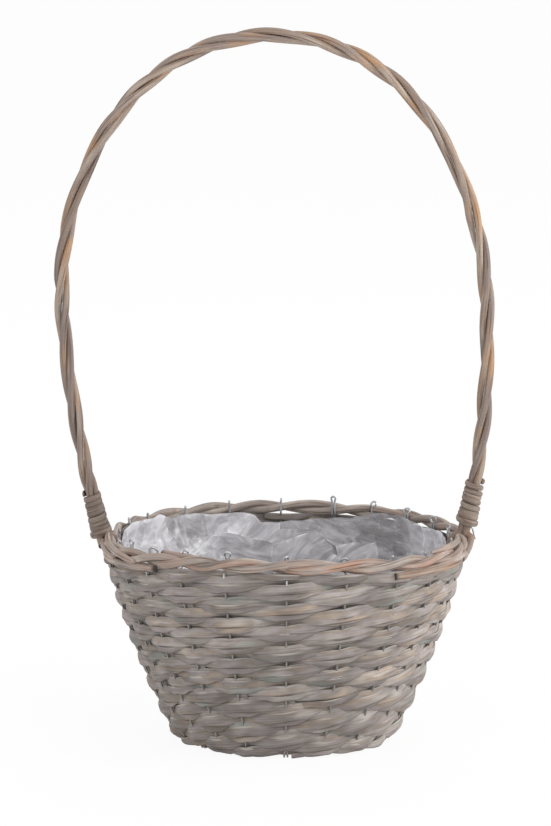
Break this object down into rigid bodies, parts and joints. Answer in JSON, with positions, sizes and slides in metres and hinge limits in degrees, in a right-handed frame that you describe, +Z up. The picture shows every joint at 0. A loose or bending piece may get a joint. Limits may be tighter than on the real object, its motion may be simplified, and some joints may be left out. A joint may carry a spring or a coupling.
{
  "type": "planter basket",
  "caption": "Round wicker basket on wire hairpins, with strands of split willow climbing in a plain weave, a twined rim, a film liner and a tall twisted handle bound with cane.",
  "frame": {"origin": "middle of the base on the surface it stands on, on the axis of the basket's wall", "axes": "+Z up along the basket's axis, +X towards the handle's right foot, +Y away from the viewer of the picture"},
  "size_m": [0.2864, 0.2476, 0.465],
  "materials": {
    "willow_grey": "grey-washed split willow, matte",
    "willow_blue_grey": "grey-washed split willow, matte, cooler",
    "willow_beige": "grey-washed split willow, matte, paler",
    "handle_willow": "round willow rods with a grey wash, matte",
    "rim_willow": "round willow rods with bark, satin",
    "cane": "split cane, matte",
    "galvanised_wire": "galvanised wire",
    "film": "thin clouded film, creased"
  },
  "bodies": {
    "root": {"base_mat": "willow_grey", "film_liner": "film", "handle_rod_1": "handle_willow", "handle_rod_2": "handle_willow", "handle_rod_3": "handle_willow", "handle_wire": "galvanised_wire", "left_binding": "cane", "right_binding": "cane", "rim_rod_1": "rim_willow", "rim_rod_2": "rim_willow", "stake_01": "galvanised_wire", "stake_02": "galvanised_wire", "stake_03": "galvanised_wire", "stake_04": "galvanised_wire", "stake_05": "galvanised_wire", "stake_06": "galvanised_wire", "stake_07": "galvanised_wire", "stake_08": "galvanised_wire", "stake_09": "galvanised_wire", "stake_10": "galvanised_wire", "stake_11": "galvanised_wire", "stake_12": "galvanised_wire", "stake_13": "galvanised_wire", "stake_14": "galvanised_wire", "stake_15": "galvanised_wire", "stake_16": "galvanised_wire", "stake_17": "galvanised_wire", "stake_18": "galvanised_wire", "stake_19": "galvanised_wire", "stake_20": "galvanised_wire", "stake_21": "galvanised_wire", "stake_22": "galvanised_wire", "weaver_01": "willow_grey", "weaver_02": "willow_blue_grey", "weaver_03": "willow_beige", "weaver_04": "willow_grey", "weaver_05": "willow_blue_grey", "weaver_06": "willow_beige", "weaver_07": "willow_grey", "weaver_08": "willow_blue_grey", "weaver_09": "willow_beige", "weaver_10": "willow_grey", "weaver_11": "willow_blue_grey", "weaver_12": "willow_beige", "weaver_13": "willow_grey", "weaver_14": "willow_blue_grey", "weaver_15": "willow_beige", "weaver_16": "willow_grey", "weaver_17": "willow_blue_grey", "weaver_18": "willow_beige", "weaver_19": "willow_grey", "weaver_20": "willow_blue_grey"}
  },
  "joints": []
}
